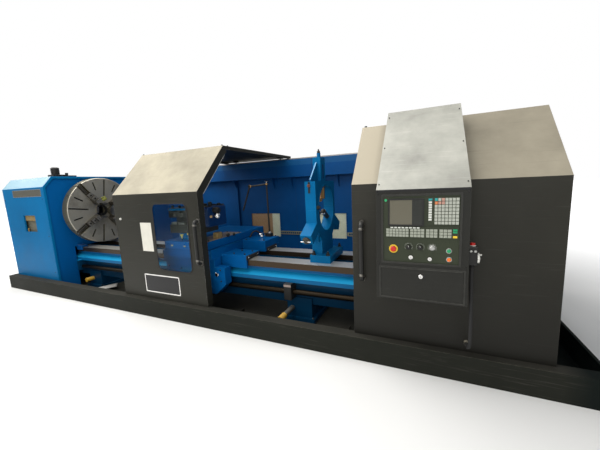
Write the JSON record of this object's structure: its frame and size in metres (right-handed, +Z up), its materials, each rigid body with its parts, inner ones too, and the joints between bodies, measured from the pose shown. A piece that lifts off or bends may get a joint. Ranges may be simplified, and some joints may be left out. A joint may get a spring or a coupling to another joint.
{
  "type": "cnc turning lathe",
  "caption": "Long flat-bed turning lathe with blue headstock and bed, four-jaw chuck, tool turret, steady rest, sliding dark guard doors, control panel and chip tray.",
  "frame": {"origin": "middle of the chip tray's underside", "axes": "+X along the bed from the headstock to the tailstock, +Y from the operator's side to the rear guard, +Z up"},
  "size_m": [7.96, 2.6687, 2.17],
  "materials": {
    "blue_paint": "semi-gloss blue machine enamel",
    "dark_paint": "fine textured dark grey coat",
    "ground_steel": "ground bright steel",
    "cast_steel": "machined grey casting",
    "turret_iron": "dark oiled casting",
    "screw_steel": "oiled steel",
    "black_plastic": "satin black",
    "clear_pane": "clear polycarbonate",
    "panel_grey": "matt membrane panel",
    "red_plastic": "glossy red",
    "green_plastic": "glossy green",
    "orange_plastic": "glossy orange",
    "silver_plastic": "satin silver",
    "white_plastic": "glossy white",
    "belt_rubber": "dull black",
    "motor_grey": "grey enamel"
  },
  "bodies": {
    "frame": {"chip_tray": "dark_paint", "bed": "blue_paint", "headstock_housing": "blue_paint", "headstock_cover": "blue_paint", "oil_breather": "black_plastic", "main_motor": "motor_grey", "spindle_bearing_front": "ground_steel", "spindle_bearing_rear": "ground_steel", "drive_belt": "belt_rubber", "rear_guard": "blue_paint", "guard_window_left": "clear_pane", "guard_window_right": "clear_pane", "door_rail": "ground_steel", "lifting_bar_left": "dark_paint", "lifting_bar_right": "dark_paint", "feed_motor": "motor_grey", "screw_bracket": "black_plastic"},
    "spindle": {"spindle_shaft": "ground_steel", "spindle_pulley": "cast_steel", "chuck_body": "cast_steel"},
    "jaw_1": {"chuck_jaw_1": "ground_steel"},
    "jaw_2": {"chuck_jaw_2": "ground_steel"},
    "jaw_3": {"chuck_jaw_3": "ground_steel"},
    "jaw_4": {"chuck_jaw_4": "ground_steel"},
    "motor_rotor": {"motor_pulley": "cast_steel"},
    "feed_screw": {"feed_screw": "screw_steel"},
    "carriage": {"saddle": "blue_paint", "apron": "blue_paint", "coolant_post": "black_plastic"},
    "coolant_nozzle": {"coolant_nozzle": "black_plastic"},
    "cross_slide": {"cross_slide": "blue_paint", "turret_base": "blue_paint"},
    "turret": {"turret_head": "turret_iron"},
    "steady_rest": {"steady_frame": "blue_paint"},
    "steady_cap": {"steady_cap": "blue_paint"},
    "steady_quill_top": {"steady_quill_top": "ground_steel"},
    "steady_quill_front": {"steady_quill_front": "ground_steel"},
    "steady_quill_rear": {"steady_quill_rear": "ground_steel"},
    "tailstock": {"tailstock_body": "blue_paint"},
    "tailstock_quill": {"tailstock_quill": "ground_steel", "live_centre": "ground_steel"},
    "left_door": {"left_door": "dark_paint", "left_door_window": "clear_pane", "left_door_handle": "black_plastic"},
    "right_door": {"right_door": "dark_paint", "right_door_handle": "black_plastic", "control_box": "dark_paint", "control_hood": "dark_paint", "control_panel": "panel_grey", "pendant_body": "black_plastic", "pendant_cord": "black_plastic"},
    "e_stop_button": {"e_stop_button": "red_plastic"},
    "start_button": {"start_button": "green_plastic"},
    "stop_button": {"stop_button": "orange_plastic"},
    "feed_dial": {"feed_dial": "black_plastic"},
    "speed_dial": {"speed_dial": "black_plastic"},
    "mode_selector": {"mode_selector": "silver_plastic"},
    "panel_flap": {"panel_flap": "dark_paint"},
    "pendant_wheel": {"pendant_wheel": "white_plastic"},
    "pendant_stop": {"pendant_stop": "red_plastic"}
  },
  "joints": [
    {"name": "spindle_spin", "type": "hinge", "parent": "frame", "child": "spindle", "pos_m": [-2.39, -0.42, 1.3], "axis": [1, 0, 0], "continuous": true},
    {"name": "jaw_1_slide", "type": "slide", "parent": "spindle", "child": "jaw_1", "axis": [0, -0.6018, 0.7986], "range_m": [-0.08, 0.18]},
    {"name": "jaw_2_slide", "type": "slide", "parent": "spindle", "child": "jaw_2", "axis": [0, -0.7986, -0.6018], "range_m": [-0.08, 0.18]},
    {"name": "jaw_3_slide", "type": "slide", "parent": "spindle", "child": "jaw_3", "axis": [0, 0.6018, -0.7986], "range_m": [-0.08, 0.18]},
    {"name": "jaw_4_slide", "type": "slide", "parent": "spindle", "child": "jaw_4", "axis": [0, 0.7986, 0.6018], "range_m": [-0.08, 0.18]},
    {"name": "motor_spin", "type": "hinge", "parent": "frame", "child": "motor_rotor", "pos_m": [-3.8125, 0.36, 0.62], "axis": [1, 0, 0], "continuous": true},
    {"name": "carriage_slide", "type": "slide", "parent": "frame", "child": "carriage", "axis": [1, 0, 0], "range_m": [-1.5, 0.45]},
    {"name": "feed_screw_spin", "type": "hinge", "parent": "frame", "child": "feed_screw", "pos_m": [0.5, -0.79, 0.372], "axis": [1, 0, 0], "continuous": true},
    {"name": "coolant_swivel", "type": "hinge", "parent": "carriage", "child": "coolant_nozzle", "pos_m": [0.71, 0, 1.59], "axis": [0, 0, 1], "range_deg": [-60, 60]},
    {"name": "cross_feed", "type": "slide", "parent": "carriage", "child": "cross_slide", "axis": [0, 1, 0], "range_m": [-0.05, 0.35]},
    {"name": "turret_index", "type": "hinge", "parent": "cross_slide", "child": "turret", "pos_m": [-0.03, -0.75, 1.04], "axis": [0, 0, 1], "continuous": true},
    {"name": "steady_slide", "type": "slide", "parent": "frame", "child": "steady_rest", "axis": [1, 0, 0], "range_m": [-0.28, 0.3]},
    {"name": "steady_cap_hinge", "type": "hinge", "parent": "steady_rest", "child": "steady_cap", "pos_m": [1.675, -0.0897, 1.3], "axis": [-1, 0, 0], "range_deg": [0, 90]},
    {"name": "steady_top_feed", "type": "slide", "parent": "steady_cap", "child": "steady_quill_top", "axis": [0, 0, -1], "range_m": [-0.06, 0.05]},
    {"name": "steady_front_feed", "type": "slide", "parent": "steady_rest", "child": "steady_quill_front", "axis": [0, 0.866, 0.5], "range_m": [-0.06, 0.05]},
    {"name": "steady_rear_feed", "type": "slide", "parent": "steady_rest", "child": "steady_quill_rear", "axis": [0, -0.866, 0.5], "range_m": [-0.06, 0.05]},
    {"name": "tailstock_slide", "type": "slide", "parent": "frame", "child": "tailstock", "axis": [1, 0, 0], "range_m": [-0.05, 0.2]},
    {"name": "tailstock_quill_feed", "type": "slide", "parent": "tailstock", "child": "tailstock_quill", "axis": [-1, 0, 0], "range_m": [0, 0.25]},
    {"name": "left_door_slide", "type": "slide", "parent": "frame", "child": "left_door", "axis": [1, 0, 0], "range_m": [-1.7, 0.85]},
    {"name": "right_door_slide", "type": "slide", "parent": "frame", "child": "right_door", "axis": [1, 0, 0], "range_m": [-0.85, 0.2]},
    {"name": "e_stop_press", "type": "slide", "parent": "right_door", "child": "e_stop_button", "axis": [0, 1, 0], "range_m": [0, 0.005], "stiffness_N_per_m": 800},
    {"name": "start_press", "type": "slide", "parent": "right_door", "child": "start_button", "axis": [0, 1, 0], "range_m": [0, 0.005], "stiffness_N_per_m": 600},
    {"name": "stop_press", "type": "slide", "parent": "right_door", "child": "stop_button", "axis": [0, 1, 0], "range_m": [0, 0.005], "stiffness_N_per_m": 600},
    {"name": "feed_dial_turn", "type": "hinge", "parent": "right_door", "child": "feed_dial", "pos_m": [2.699, -1.3767, 1.09], "axis": [0, -1, 0], "range_deg": [-135, 135]},
    {"name": "speed_dial_turn", "type": "hinge", "parent": "right_door", "child": "speed_dial", "pos_m": [2.778, -1.3767, 1.09], "axis": [0, -1, 0], "range_deg": [-135, 135]},
    {"name": "mode_selector_turn", "type": "hinge", "parent": "right_door", "child": "mode_selector", "pos_m": [2.857, -1.3767, 1.09], "axis": [0, -1, 0], "range_deg": [-135, 135]},
    {"name": "panel_flap_hinge", "type": "hinge", "parent": "right_door", "child": "panel_flap", "pos_m": [2.78, -1.3785, 0.6935], "axis": [1, 0, 0], "range_deg": [0, 95]},
    {"name": "pendant_wheel_spin", "type": "hinge", "parent": "right_door", "child": "pendant_wheel", "pos_m": [3.1453, -1.3, 1.014], "axis": [1, 0, 0], "continuous": true},
    {"name": "pendant_stop_press", "type": "slide", "parent": "right_door", "child": "pendant_stop", "axis": [0, 0, -1], "range_m": [0, 0.005], "stiffness_N_per_m": 500}
  ],
  "couplings": [
    {"joint": "motor_spin", "follows": "spindle_spin", "ratio": 2},
    {"joint": "feed_screw_spin", "follows": "carriage_slide", "rad_per_m": 523.6}
  ]
}
